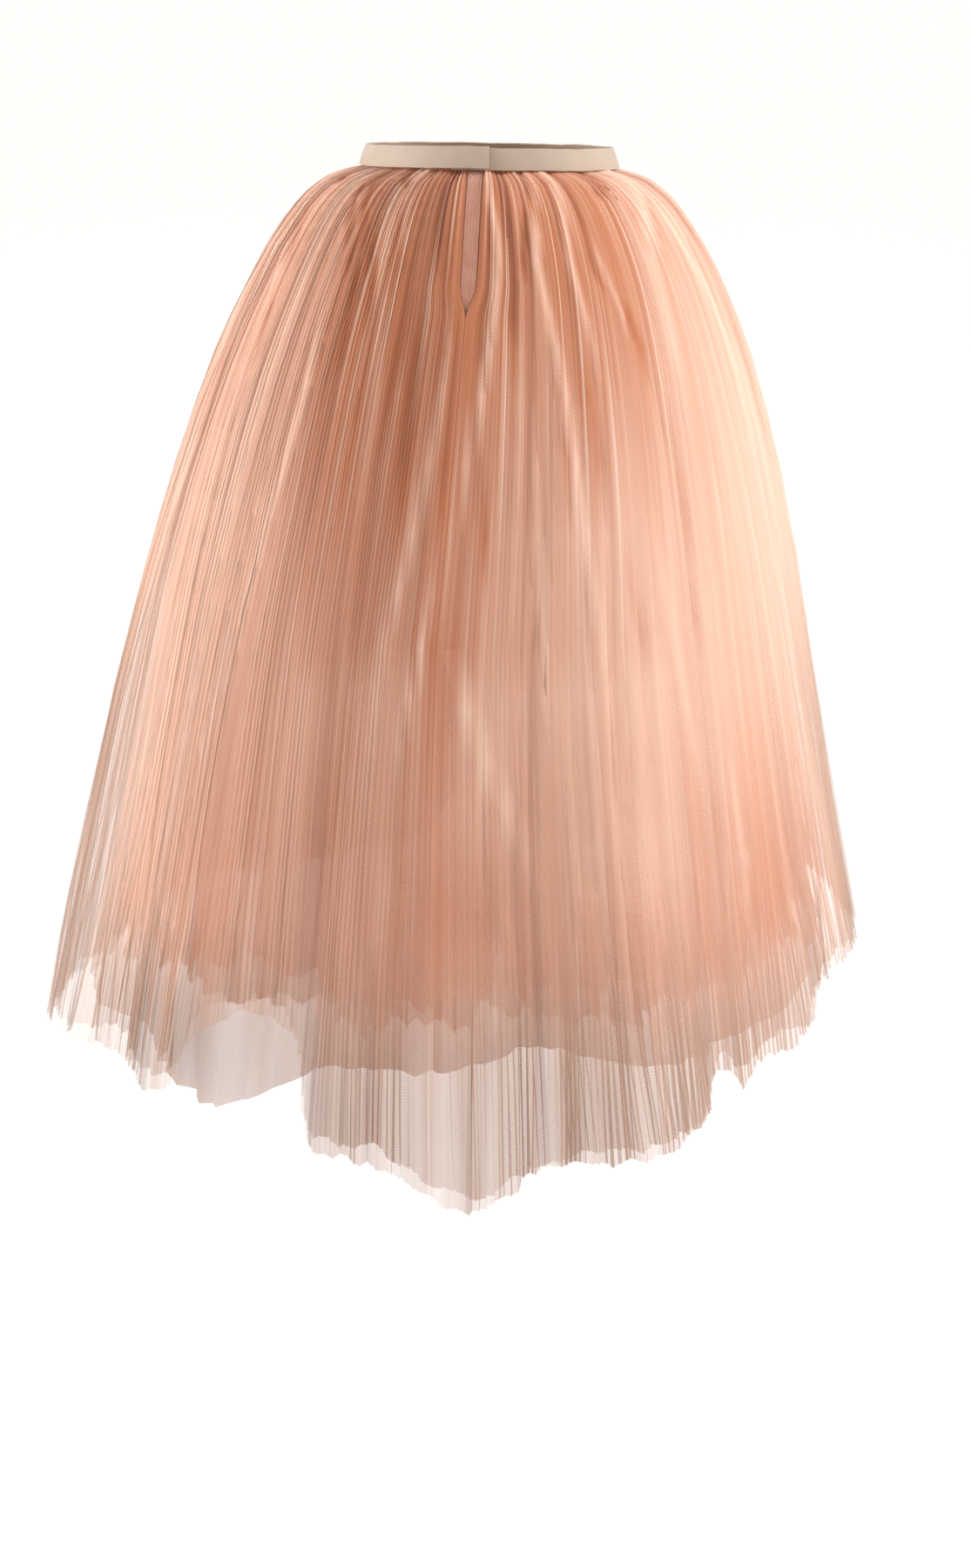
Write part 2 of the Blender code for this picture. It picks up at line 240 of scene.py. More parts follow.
# How deep the cloth's colour looks by its fall: partly dense gathers and partly painted shade at the top,
# fewer plies lower down
DEPTHS = ((0.0, 0.90), (0.10, 0.68), (0.25, 0.42), (0.40, 0.28), (0.55, 0.36), (0.80, 0.45))
SLIP_SHADE = 0.17

# How strongly the strands of folded cloth stand apart in painted shade and light by their fall, how much
# thicker the hem's folds lie and how much thinner the side margins, and how strongly painted shade deepens
# the gathers' hollows near the waist and painted light pales their ridges
STRANDS = ((0.0, 1.0), (0.12, 0.85), (0.30, 0.50), (0.50, 0.32), (0.80, 0.30))
HEM_THICKENING = 0.45
MARGIN_THINNING = 0.35
STRANDS_TO_A_PLEAT = 0.52
STRAND_UNEVENNESS = 2.2
GATHER_PAINTED_SHADING = 0.25
GATHER_TONE_REACH = 0.09

# Broad places where the nets are drawn in a deeper colour, or a paler one below zero; then places where they
# lie thicker, or thinner below zero
Cloud = namedtuple("Cloud", "angle fall angle_reach fall_reach depth")
CLOUDS = (
    Cloud(-112, 0.18, 17, 0.14, 0.24),
    Cloud(-110, 0.38, 18, 0.16, 0.14),
    Cloud(-102, 0.58, 22, 0.14, 0.20),
    Cloud(-95, 0.38, 4, 0.06, 0.25),
    Cloud(-68, 0.27, 12, 0.13, -0.34),
    Cloud(-145, 0.32, 16, 0.20, -0.18),
    Cloud(-30, 0.25, 20, 0.22, -0.14),
    Cloud(-62, 0.62, 16, 0.08, 0.12),
    Cloud(-66, 0.50, 9, 0.05, -0.22),
    Cloud(-90, 0.54, 6, 0.05, 0.22),
    Cloud(-66, 0.12, 9, 0.06, 0.10),
    Cloud(-38, 0.60, 18, 0.20, 0.42),
    Cloud(70, 0.20, 18, 0.16, 0.24),
    Cloud(104, 0.36, 20, 0.18, 0.22),
    Cloud(40, 0.36, 16, 0.20, -0.16),
    Cloud(140, 0.30, 18, 0.20, -0.16),
)
THIN_PLACES = (
    Cloud(-87, 0.77, 6, 0.09, -0.20),
    Cloud(-62, 0.74, 6, 0.06, -0.20),
    Cloud(-103, 0.72, 5, 0.08, 0.40),
    Cloud(-76, 0.72, 3, 0.07, 0.30),
    Cloud(55, 0.72, 8, 0.08, -0.20),
    Cloud(100, 0.74, 7, 0.09, -0.20),
    Cloud(132, 0.74, 5, 0.08, 0.40),
)
SLIP_SEEN_LOWER = 0.045

# Loose corners of the middle net that show through the outer net: four corners as angles and falls, how far
# the top edge bows up, how far they lie under the outline, how much they cover and how deep they look
Flap = namedtuple("Flap", "panel corners bow inset cover tone")
FLAPS = (
    Flap("back_right", ((-76.7, 0.428), (-58.4, 0.438), (-62.9, 0.450), (-76.3, 0.484)), 0, 0.009, 0.75, 0),
    Flap("back_right", ((-76.2, 0.466), (-66.8, 0.464), (-56.2, 0.578), (-79.8, 0.517)), 0, 0.01, 0.75, 0.05),
    Flap("back_right", ((-95.0, 0.330), (-91.9, 0.330), (-77.7, 0.516), (-81.4, 0.515)), 0, 0.008, 0.80, 0),
    Flap(
        "back_left", ((-94.9, 0.475), (-84.8, 0.433), (-82.2, 0.619), (-94.7, 0.62)), 0.022, 0.011, 0.7, 0.3
    ),
    Flap("front", ((62.0, 0.440), (78.0, 0.432), (80.0, 0.590), (66.0, 0.575)), 0.010, 0.010, 0.70, 0.1),
    Flap("front", ((108.0, 0.350), (112.0, 0.350), (121.0, 0.520), (117.0, 0.525)), 0, 0.009, 0.75, 0.05),
)

# Panels, by the angles of their side edges. None stands for the centre back line
Panel = namedtuple("Panel", "name start end share")
PANELS = (
    Panel("front", 0, 180, 0.5),
    Panel("back_left", 180, None, 0.25),
    Panel("back_right", None, 360, 0.25),
)

# Nets. gathers are the soft folds that the solids have too, pleats the fine ones pressed into the cloth, or
# the cloth's own small ripples. opacity is one flat ply's, and fullness how many times the hem's length
# the cloth is wide
Net = namedtuple(
    "Net",
    "name sections hem waist_inset hem_inset waist_swing hem_swing gathers pleats columns "
    "pleat_depth fold_over bunching fullness opacity ripple ply_shorter ply_inset ragged",
)
OUTER_NET = Net(
    "outer_net", SKIRT_SECTIONS, "outer", 0.0, 0.0, 0.0008, 0.0020, 84, 504, 2,
    0.0017, 0.30, 1.0, 1.30, 0.31, 0.0, (0.0, 0.012), (0.0010, 0.0060), 0.0045,
)
MIDDLE_NET = Net(
    "middle_net", SKIRT_SECTIONS, "middle", 0.0051, 0.0420, 0.0006, 0.0050, 20, 120, 2,
    0.0010, 0.0, 0.5, 1.25, 0.52, 0.004, (0.0,), (0.0,), 0.0,
)
UNDER_NET = Net(
    "under_net", SKIRT_SECTIONS, "under", 0.0078, 0.0700, 0.0010, 0.0050, 48, 144, 4,
    0.0035, 0.25, 1.0, 2.0, 0.32, 0.010, (0.0, 0.022), (0.0, 0.0050), 0.010,
)

# The slip, and the rows of each mesh from the waist down
SLIP_COLUMNS = 160
SLIP_WAVES = 10
SLIP_SWING = 0.0040
TOP_FALLS = (
    -TUCK, -0.002, 0.0016, 0.004, 0.007, 0.010, 0.015, 0.022, 0.031, 0.044, 0.060, 0.078, 0.085, 0.092, 0.099,
    0.120, 0.150, 0.195, 0.245,
)
LOWER_ROWS = 13
SLIP_FALLS = (-TUCK, 0.0, 0.010, 0.025, 0.050, 0.080, 0.110, 0.150, 0.200)
SLIP_LOWER_ROWS = 6
RUFFLE_REACH = 0.09
PLACKET_ROWS = 26
FLAP_STEPS = 12
FLAP_WAVE = 0.0015

# Random streaks: how many degrees wide and how long in metres each is, and how much it does
Streak = namedtuple("Streak", "width length share")
SLIDES = (Streak(7.0, 0.55, 1.7), Streak(2.2, 0.5, 0.6), Streak(0.9, 0.6, 0.22))
FAR_SLIDE = Streak(24, None, 3.5)
SWINGS = Streak(5.0, 0.5, 0.9)
GATHER_DRIFTS = Streak(7.0, 0.4, 1.6)
RIPPLES = Streak(2.6, 0.05, 1.0)
BULGES = Streak(6.0, 0.22, 0.0035)
PLEAT_DEPTHS = Streak(1.3, 0.6, 0.5)
PLEAT_SHIFTS = Streak(1.7, 0.4, 0.7)
THIN_STREAKS = Streak(0.6, 0.7, 0.12)
BROAD_STREAKS = Streak(3.0, 0.5, 0.22)
NARROW_TONES = Streak(1.5, 0.7, 0.10)
BROAD_TONES = Streak(6.0, 0.5, 0.14)

# How far the nets are shaded like a plain smooth outline, and how strongly they glow: a painted glow in their
# own colour that stands in for the light that wanders between their plies
NET_SOFTNESS = 0.92
NET_GLOW = 0.12

# Walls, the placket's ribs and the waistband's mesh
SLIP_WALL = 0.0008
PLACKET_WALL = 0.0008
PLACKET_RIBS = 7
PLACKET_RIB_DEPTH = 0.0004
BAND_COLUMNS = 260
BAND_ROWS = 7
BAND_WAVE = 0.0003

# Camera, measured from the photograph: the focal length in its pixels and the place seen from the waist
PHOTO_HEIGHT = 1800
FOCAL_PIXELS = 2173
SENSOR = 36.0
CAMERA_BACK = 1.589
CAMERA_UP = 0.2350
CAMERA_PITCH = 26.78
CAMERA_ROLL = 1.0
CAMERA_YAW = 0.22
FLOOR_BELOW = 1.207

# Node kinds and settings that the trees use most
MATH = "ShaderNodeMath"
VECTOR_MATH = "ShaderNodeVectorMath"
NOISE = "ShaderNodeTexNoise"
MIX = "ShaderNodeMix"
MAP_RANGE = "ShaderNodeMapRange"
MULTIPLY = {"operation": "MULTIPLY"}
MULTIPLY_ADD = {"operation": "MULTIPLY_ADD"}
MULTIPLY_ADD_CLAMPED = {"operation": "MULTIPLY_ADD", "use_clamp": True}
COLOURS = {"data_type": "RGBA"}
SOFT_STEP = {"interpolation_type": "SMOOTHSTEP"}


def linear(text):
    """An sRGB hex colour as linear red, green, blue and a full alpha."""
    parts = [int(text[i : i + 2], 16) / 255 for i in (1, 3, 5)]
    return [c / 12.92 if c <= 0.04045 else ((c + 0.055) / 1.055) ** 2.4 for c in parts] + [1.0]


def smooth(value):
    """0 at 0 and below, 1 at 1 and above, with a soft start and end."""
    value = np.clip(value, 0.0, 1.0)
    return value * value * (3 - 2 * value)


def along(rows, key, column, places):
    """A column's values at places along a table, on a smooth curve through its rows."""
    keys = np.array([getattr(row, key) for row in rows], float)
    values = np.array([getattr(row, column) for row in rows], float)
    slopes = np.gradient(values)
    slopes[1:-1] = (values[2:] - values[:-2]) / (keys[2:] - keys[:-2])
    slopes[0] = (values[1] - values[0]) / (keys[1] - keys[0])
    slopes[-1] = (values[-1] - values[-2]) / (keys[-1] - keys[-2])
    places = np.clip(places, keys[0], keys[-1])
    i = np.clip(np.searchsorted(keys, places, side="right") - 1, 0, len(keys) - 2)
    span = keys[i + 1] - keys[i]
    t = (places - keys[i]) / span
    return (
        values[i] * (1 + 2 * t) * (1 - t) ** 2
        + slopes[i] * span * t * (1 - t) ** 2
        + values[i + 1] * t * t * (3 - 2 * t)
        + slopes[i + 1] * span * t * t * (t - 1)
    )


def turned(angle):
    """The same angle from -180 up to 180."""
    return (angle + 180) % 360 - 180


def wander(angles, spacing, seed):
    """A smooth random curve from -1 to 1 round the waist, with a new value every spacing degrees."""
    count = max(3, round(360 / spacing))
    knots = np.random.RandomState(seed).uniform(-1, 1, count)
    place = (angles % 360) / 360 * count
    i = np.floor(place).astype(int)
    t = smooth(place - i)
    return knots[i % count] * (1 - t) + knots[(i + 1) % count] * t


def streaks(angles, falls, streak, seed):
    """Random streaks that run down the cloth: the curve round the waist changes over each length of fall."""
    place = np.maximum(falls, 0) / streak.length
    step = np.floor(place).astype(int)
    t = smooth(place - step)
    total = np.zeros_like(angles)
    for k in range(int(step.max()) + 2):
        share = np.where(step == k, 1 - t, 0) + np.where(step + 1 == k, t, 0)
        total += share * wander(angles, streak.width, seed + 31 * k)
    return streak.share * total


def outline(sections, angles, falls):
    """Points of the plain outline, with no folds or pleats."""
    a = np.radians(angles)
    return np.stack(
        [
            along(sections, "fall", "half_width", falls) * np.cos(a) + along(sections, "fall", "lean", falls),
            along(sections, "fall", "half_depth", falls) * np.sin(a),
            -BAND_HEIGHT / 2 - falls,
        ],
        axis=-1,
    )


def unit(vectors):
    """Vectors at length 1."""
    return vectors / np.maximum(np.linalg.norm(vectors, axis=-1, keepdims=True), 1e-9)


def outward(sections, angles, falls):
    """The outline's outward normals."""
    step = 0.002
    above = outline(sections, angles, np.maximum(falls - step, sections[0].fall))
    below = outline(sections, angles, np.minimum(falls + step, sections[-1].fall))
    before = outline(sections, angles - 1, falls)
    after = outline(sections, angles + 1, falls)
    return unit(np.cross(above - below, before - after))


def tipped(points, falls):
    """Points moved up or down with the waist line's tip."""
    points[..., 2] -= WAIST_TIP * points[..., 1] * (1 - smooth(falls / TIP_REACH))
    return points


def fold_depth(angles, falls):
    """How far the large folds move the cloth out, which grows from the hip to the hem."""
    total = np.zeros_like(angles)
    for fold in FOLDS:
        away = np.abs(turned(angles - fold.angle)) / fold.half_width
        total += fold.depth * smooth(1 - away / 2)
    return total * smooth((falls - FOLD_START) / (FULL_FALL - FOLD_START))


def all_creases():
    """The traced creases, with similar ones for the hidden sides: the front has them mirrored, and the sides
    have the ones near the centre back turned round."""
    made = list(CREASES)
    for crease in CREASES:
        made.append(crease._replace(way=tuple((9 - angle, fall) for angle, fall in crease.way)))
        if abs(crease.way[0][0] - CENTRE_BACK) < 32:
            for turn in (88, -91):
                made.append(crease._replace(way=tuple((angle + turn, fall) for angle, fall in crease.way)))
    return made


def crease_field(angles, falls):
    """How strongly the cloth stands out on a crease here, or sinks in."""
    total = np.zeros_like(angles)
    radius = along(SKIRT_SECTIONS, "fall", "half_width", falls)
    for crease in all_creases():
        places = np.array(crease.way)
        first, last = places[0, 1], places[-1, 1]
        fade = CREASE_FADE * (last - first)
        across = np.radians(turned(angles - np.interp(falls, places[:, 1], places[:, 0]))) * radius
        ends = smooth((last - falls) / fade) * (smooth((falls - first) / fade) if first > 0.02 else 1)
        total += crease.strength * ends * np.exp(-((across / (CREASE_SPREAD * crease.half_width)) ** 2))
    return total


def broad_places(places, angles, falls):
    """The sum of broad places' depths, each fading out round its middle."""
    total = np.zeros_like(angles)
    for place in places:
        away = (turned(angles - place.angle) / place.angle_reach) ** 2
        total += place.depth * np.exp(-away - ((falls - place.fall) / place.fall_reach) ** 2)
    return total


def centre_back(falls):
    """How far the centre back line lies to the side of the middle."""
    return -OPENING_ASIDE - OPENING_DRIFT * np.clip(falls, 0.0, OPENING_DRIFT_END)


def opening_half_width(falls):
    """Half the gap between the back panels."""
    closing = smooth((falls - OPENING_STRAIGHT) / (OPENING_SHUT - OPENING_STRAIGHT))
    return OPENING_HALF_WIDTH + (SEAM_GAP / 2 - OPENING_HALF_WIDTH) * closing


def panel_angles(sections, panel, shares, falls):
    """The angles at shares of the way across a panel. The opening crowds only the pleats beside it."""
    half_width = along(sections, "fall", "half_width", falls)
    seam = np.degrees(SEAM_GAP / 2 / along(sections, "fall", "half_depth", falls))
    line = CENTRE_BACK + 360 + np.degrees(centre_back(falls) / half_width)
    gap = np.degrees(opening_half_width(falls) / half_width)
    start = line if panel.start is None else panel.start + seam
    end = line if panel.end is None else panel.end - seam
    angles = start + (end - start) * shares
    if panel.start is None:
        angles = angles + gap * np.exp(-(end - start) * shares / OPENING_CROWDS)
    if panel.end is None:
        angles = angles - gap * np.exp(-(end - start) * (1 - shares) / OPENING_CROWDS)
    return angles


def growth(falls, power):
    """How far a layer has grown from its waist value to its full one."""
    return (np.maximum(falls, 0.0) / FULL_FALL) ** power


def hem_line(net, angles, ply, seed):
    """How far one ply of a net falls at each angle, with its ragged ends."""
    hem = along(HEMS, "angle", net.hem, turned(angles)) - net.ply_shorter[ply]
    ragged = wander(angles, 1.1, seed) + 0.8 * wander(angles, 4.0, seed + 1)
    return hem + net.ragged * (ragged + 0.6) + 0.9 * net.ripple * wander(angles, 13, seed + 20)


def net_grid(net, panel, ply, first_seed):
    """One ply of one panel: its points, its cloth coordinates, and the fields that the pleats and the
    finish read."""
    seed = first_seed + 101 * ply + 17 * len(net.name) + 5 * net.gathers
    count = round(net.pleats * panel.share) * net.columns
    column = np.arange(count + 1)
    level = panel_angles(net.sections, panel, column / count, np.full(count + 1, FULL_FALL))
    hem = hem_line(net, level, ply, seed)[:, None]
    lower = (np.arange(1, LOWER_ROWS + 1) / LOWER_ROWS)[None, :]
    last = TOP_FALLS[-1]
    falls = np.concatenate([np.tile(TOP_FALLS, (count + 1, 1)), last + (hem - last) * lower], axis=1)
    wide = np.broadcast_to((column / count)[:, None], falls.shape)
    angles = panel_angles(net.sections, panel, wide, falls)

    # Bunching slides the pleats sideways into denser and thinner strands, except at the panel's edges
    free = smooth(np.minimum(wide, 1 - wide) / 0.03)
    loose = growth(falls, 0.8)
    slide = sum(streaks(angles, falls, streak, seed + 2 + i) for i, streak in enumerate(SLIDES))
    slide = slide + FAR_SLIDE.share * loose * wander(angles, FAR_SLIDE.width, seed + 15)
    phase = wide * round(net.gathers * panel.share) + 0.5 * ply * free
    angles = angles + net.bunching * free * loose * slide

    inset = net.waist_inset + (net.hem_inset - net.waist_inset) * growth(falls, INSET_POWER)
    inset = inset + net.ply_inset[ply] * loose
    swing = net.waist_swing + (net.hem_swing - net.waist_swing) * growth(falls, SWING_POWER)
    swing = swing * (1 + streaks(angles, falls, SWINGS, seed + 5))
    gather = -np.cos(2 * np.pi * (phase + loose * free * streaks(angles, falls, GATHER_DRIFTS, seed + 6)))
    near_hem = smooth(1 - (hem - falls) / RUFFLE_REACH)
    ripple = net.ripple * near_hem * streaks(angles, falls, RIPPLES, seed + 7)
    lift = swing * gather + ripple - inset + fold_depth(angles, falls)
    crease = crease_field(angles, falls) * free
    lift = lift + loose * streaks(angles, falls, BULGES, seed + 8) + CREASE_LIFT * crease
    base = outline(net.sections, angles, falls)
    out = outward(net.sections, angles, falls)
    points = tipped(base + lift[..., None] * out, falls)

    # How many thicknesses of cloth lie side by side here: the cloth's own width over the room that it has
    steps = np.linalg.norm(np.diff(points, axis=0), axis=-1)
    pitch = np.concatenate([steps[:1], (steps[1:] + steps[:-1]) / 2, steps[-1:]], axis=0)
    hem_pitch = np.median(pitch[:, -1])
    thickness = np.clip(net.fullness * hem_pitch / np.maximum(pitch, 0.1 * hem_pitch), 0.55, 7.0)
    sideways = np.cos(np.radians(angles)) ** 2
    margin = smooth((sideways - 0.75) / 0.25) * smooth((falls - 0.25) / 0.25)
    thickness = thickness * (1 - SIDE_THINNING * sideways) * (1 - MARGIN_THINNING * margin)

    ridge = np.broadcast_to(-np.cos(2 * np.pi * column / net.columns)[:, None], falls.shape)
    depth = net.pleat_depth * np.minimum(pitch / hem_pitch, 1.5) * free * (1 - 0.5 * sideways)
    depth = depth * (1 + streaks(angles, falls, PLEAT_DEPTHS, seed + 9))
    shift = net.fold_over * free * (1 + streaks(angles, falls, PLEAT_SHIFTS, seed + 10))

    fine = 0.10 * ridge + streaks(angles, falls, THIN_STREAKS, seed + 11)
    fine = fine + streaks(angles, falls, BROAD_STREAKS, seed + 12)
    fine = fine * (1 - 0.5 * smooth((falls - 0.20) / 0.30)) + 0.5 * np.maximum(crease, 0)
    thin_hem = smooth((falls - along(HEMS, "angle", "under", turned(level))[:, None] + 0.10) / 0.16)
    fine = fine + broad_places(THIN_PLACES, angles, falls) + HEM_THICKENING * thin_hem
    # The colour's depth: by the fall, for the plies and a painted shade at the top; paler at the sides by
    # painted light; random streaks; painted light on raised creases and gather ridges and painted shade in
    # sinking creases and gather hollows; the slip behind; and broad places drawn deeper and others paler
    tone = np.interp(falls, *np.transpose(DEPTHS)) - SIDE_PAINTED_LIGHT * sideways
    tone = tone + streaks(angles, falls, NARROW_TONES, seed + 13)
    tone = tone + streaks(angles, falls, BROAD_TONES, seed + 14)
    tone = tone - CREASE_PAINTED_SHADING * np.where(crease < 0, 0.8, 1.0) * crease
    tone = tone - GATHER_PAINTED_SHADING * smooth(1 - falls / GATHER_TONE_REACH) * gather
    slip_hem = along(HEMS, "angle", "slip", turned(level))[:, None] + SLIP_SEEN_LOWER
    slip_side = along(SLIP_SECTIONS, "fall", "half_width", falls) - np.abs(base[..., 0])
    tone = tone + SLIP_SHADE * smooth((slip_hem - falls) / 0.008) * smooth(slip_side / 0.010)
    tone = tone + broad_places(CLOUDS, angles, falls)
    fields = {
        "ridge": ridge,
        "pleat_depth": depth,
        "pleat_shift": shift,
        "crumple": near_hem * free,
        "cover": 1 - (1 - net.opacity) ** (thickness * np.clip(1 + fine, 0.3, 2.0)),
        "tone": np.clip(tone, 0, 1.8),
        "plies": (1 - 0.75 * thin_hem) * (1 - 0.75 * margin),
        "pleat": np.broadcast_to((column / net.columns)[:, None], falls.shape),
        "strands": np.interp(falls, *np.transpose(STRANDS)) * (1 - 0.7 * sideways),
    }
    across = np.broadcast_to((column * hem_pitch * net.fullness)[:, None], falls.shape)
    side = np.gradient(points, axis=0) * net.columns
    return points, np.stack([across, falls], axis=-1), fields, {"out": out, "side": side}


def flap_grid(flap):
    """A loose corner of the middle net that lies against the outer net."""
    share = np.linspace(0, 1, FLAP_STEPS)
    across, down = np.meshgrid(share, share, indexing="ij")
    corners = np.array(flap.corners)
    top = corners[0] + (corners[1] - corners[0]) * across[..., None]
    foot = corners[3] + (corners[2] - corners[3]) * across[..., None]
    place = top + (foot - top) * down[..., None]
    angles = place[..., 0]
    falls = place[..., 1] - flap.bow * 4 * across * (1 - across) * (1 - down)
    out = outward(SKIRT_SECTIONS, angles, falls)
    lift = streaks(angles, falls, Streak(4.0, 0.1, FLAP_WAVE), 77) - flap.inset + fold_depth(angles, falls)
    points = tipped(outline(SKIRT_SECTIONS, angles, falls) + lift[..., None] * out, falls)
    edge = np.minimum(np.minimum(across, 1 - across), np.minimum(down, 1 - down))
    none = np.zeros_like(falls)
    fields = {key: none for key in ("ridge", "pleat_depth", "pleat_shift", "crumple", "pleat", "strands")}
    fields["cover"] = none + flap.cover
    fields["tone"] = flap.tone - 0.2 * smooth(1 - edge / 0.1)
    fields["plies"] = none + 0.9
    cloth = np.stack([np.radians(angles) * 0.3, falls], axis=-1)
    return points, cloth, fields, {"out": out, "side": np.gradient(points, axis=0)}


def grid_mesh(name, grids):
    """A mesh of one or more grids of points, with their cloth coordinates and fields."""
    points, faces, cloth = [], [], []
    fields, vectors = {}, {}
    start = 0
    for grid_points, grid_cloth, grid_fields, grid_vectors in grids:
        columns, rows = grid_points.shape[:2]
        index = start + np.arange(columns * rows).reshape(columns, rows)
        quads = np.stack([index[:-1, :-1], index[:-1, 1:], index[1:, 1:], index[1:, :-1]], axis=-1)
        faces.append(quads.reshape(-1, 4))
        points.append(grid_points.reshape(-1, 3))
        cloth.append(grid_cloth.reshape(-1, 2))
        for key, value in grid_fields.items():
            fields.setdefault(key, []).append(np.asarray(value).reshape(-1))
        for key, value in grid_vectors.items():
            vectors.setdefault(key, []).append(value.reshape(-1, 3))
        start += columns * rows
    points, faces, cloth = np.concatenate(points), np.concatenate(faces), np.concatenate(cloth)
    mesh = bpy.data.meshes.new(name)
    mesh.from_pydata(points.tolist(), [], faces.tolist())
    loops = np.empty(len(mesh.loops), np.int32)
    mesh.loops.foreach_get("vertex_index", loops)
    mesh.uv_layers.new(name="cloth").data.foreach_set("uv", cloth[loops].astype(np.float32).ravel())
    for key, values in fields.items():
        values = np.concatenate(values).astype(np.float32)
        mesh.attributes.new(key, "FLOAT", "POINT").data.foreach_set("value", values)
    for key, values in vectors.items():
        values = np.concatenate(values).astype(np.float32).ravel()
        mesh.attributes.new(key, "FLOAT_VECTOR", "POINT").data.foreach_set("vector", values)
    return mesh


def fill(tree, node, inputs):
    """Links or sets a node's inputs. A node among the values gives its first output in use."""
    for key, value in inputs.items():
        if isinstance(value, bpy.types.Node):
            value = next(socket for socket in value.outputs if socket.enabled)
        if isinstance(value, bpy.types.NodeSocket):
            tree.links.new(value, node.inputs[key])
        else:
            node.inputs[key].default_value = value
    return node


def add_node(tree, kind, settings=None, inputs=None):
    """Adds a node with its settings, and links or sets its inputs."""
    node = tree.nodes.new(kind)
    for key, value in (settings or {}).items():
        setattr(node, key, value)
    return fill(tree, node, inputs or {})


def named_field(tree, name, kind):
    """A geometry node that reads one of the mesh's own fields."""
    return add_node(tree, "GeometryNodeInputNamedAttribute", {"data_type": kind}, {"Name": name})


def pleat_tree():
    """Presses the fine pleats into a smooth net, folds them over sideways and crumples the hem."""
    tree = bpy.data.node_groups.new("Pressed pleats", "GeometryNodeTree")
    tree.interface.new_socket("Geometry", in_out="INPUT", socket_type="NodeSocketGeometry")
    tree.interface.new_socket("Geometry", in_out="OUTPUT", socket_type="NodeSocketGeometry")
    for label, value in (
        ("Pleat depth", 1.0),
        ("Fold over", 1.0),
        ("Crumple", 0.003),
        ("Crumple size", 55.0),
        ("Seed", 3.0),
    ):
        socket = tree.interface.new_socket(label, in_out="INPUT", socket_type="NodeSocketFloat")
        socket.default_value = value
    tree.interface.new_socket("Finish", in_out="INPUT", socket_type="NodeSocketMaterial")
    given = add_node(tree, "NodeGroupInput")
    ridge, depth, shift, loose = (
        named_field(tree, name, "FLOAT") for name in ("ridge", "pleat_depth", "pleat_shift", "crumple")
    )
    out, side = (named_field(tree, name, "FLOAT_VECTOR") for name in ("out", "side"))
    height = add_node(tree, MATH, MULTIPLY, {0: ridge, 1: depth})
    height = add_node(tree, MATH, MULTIPLY, {0: height, 1: given.outputs["Pleat depth"]})
    noise = add_node(
        tree,
        NOISE,
        {"noise_dimensions": "4D"},
        {
            "Vector": add_node(tree, "GeometryNodeInputPosition"),
            "W": given.outputs["Seed"],
            "Scale": given.outputs["Crumple size"],
            "Detail": 1.0,
        },
    )
    bend = add_node(tree, MATH, {"operation": "SUBTRACT"}, {0: noise, 1: 0.5})
    bend = add_node(tree, MATH, MULTIPLY, {0: bend, 1: loose})
    lift = add_node(tree, MATH, MULTIPLY_ADD, {0: bend, 1: given.outputs["Crumple"], 2: height})
    slide = add_node(tree, MATH, MULTIPLY, {0: ridge, 1: shift})
    slide = add_node(tree, MATH, MULTIPLY, {0: slide, 1: given.outputs["Fold over"]})
    move = add_node(tree, VECTOR_MATH, {"operation": "SCALE"}, {0: out, "Scale": lift})
    across = add_node(tree, VECTOR_MATH, {"operation": "SCALE"}, {0: side, "Scale": slide})
    offset = add_node(tree, VECTOR_MATH, {"operation": "ADD"}, {0: move, 1: across})
    moved = add_node(
        tree, "GeometryNodeSetPosition", None, {"Geometry": given.outputs["Geometry"], "Offset": offset}
    )
    whole = add_node(tree, "GeometryNodeRealizeInstances", None, {0: moved})
    finished = add_node(
        tree, "GeometryNodeSetMaterial", None, {"Geometry": whole, "Material": given.outputs["Finish"]}
    )
    add_node(tree, "NodeGroupOutput", None, {0: finished})
    return tree


def set_input(modifier, label, value):
    """Sets a geometry node modifier's input by its socket's identifier."""
    for item in modifier.node_group.interface.items_tree:
        if item.item_type == "SOCKET" and item.in_out == "INPUT" and item.name == label:
            modifier[item.identifier] = value
            return
    raise ValueError(f"no input named {label}")


def applied(obj):
    """Turns an object's modifiers into its plain mesh."""
    graph = bpy.context.evaluated_depsgraph_get()
    result = obj.evaluated_get(graph)
    mesh = bpy.data.meshes.new_from_object(result, preserve_all_data_layers=True, depsgraph=graph)
    obj.modifiers.clear()
    obj.data = mesh
    return obj


def new_object(name, mesh):
    """An object at the origin, in the scene."""
    obj = bpy.data.objects.new(name, mesh)
    bpy.context.scene.collection.objects.link(obj)
    return obj


def material(name):
    """A new node material, with its tree and its shader."""
    made = bpy.data.materials.new(name)
    made.use_nodes = True
    return made, made.node_tree, made.node_tree.nodes["Principled BSDF"]


def shader_field(tree, name):
    """A shader node's reading of one of the mesh's own fields."""
    node = add_node(tree, "ShaderNodeAttribute", {"attribute_type": "GEOMETRY", "attribute_name": name})
    return node.outputs["Fac"]


def weave_of(tree, cloth, pitch):
    """Two crossing sets of threads, drawn from the cloth's own coordinates: 1 on a thread, -1 in a hole."""
    turns = add_node(tree, VECTOR_MATH, {"operation": "SCALE"}, {0: cloth, "Scale": 2 * math.pi / pitch})
    parts = add_node(tree, "ShaderNodeSeparateXYZ", None, {0: turns})
    across = add_node(tree, MATH, {"operation": "SINE"}, {0: parts.outputs[0]})
    down = add_node(tree, MATH, {"operation": "SINE"}, {0: parts.outputs[1]})
    return add_node(tree, MATH, MULTIPLY, {0: across, 1: down})


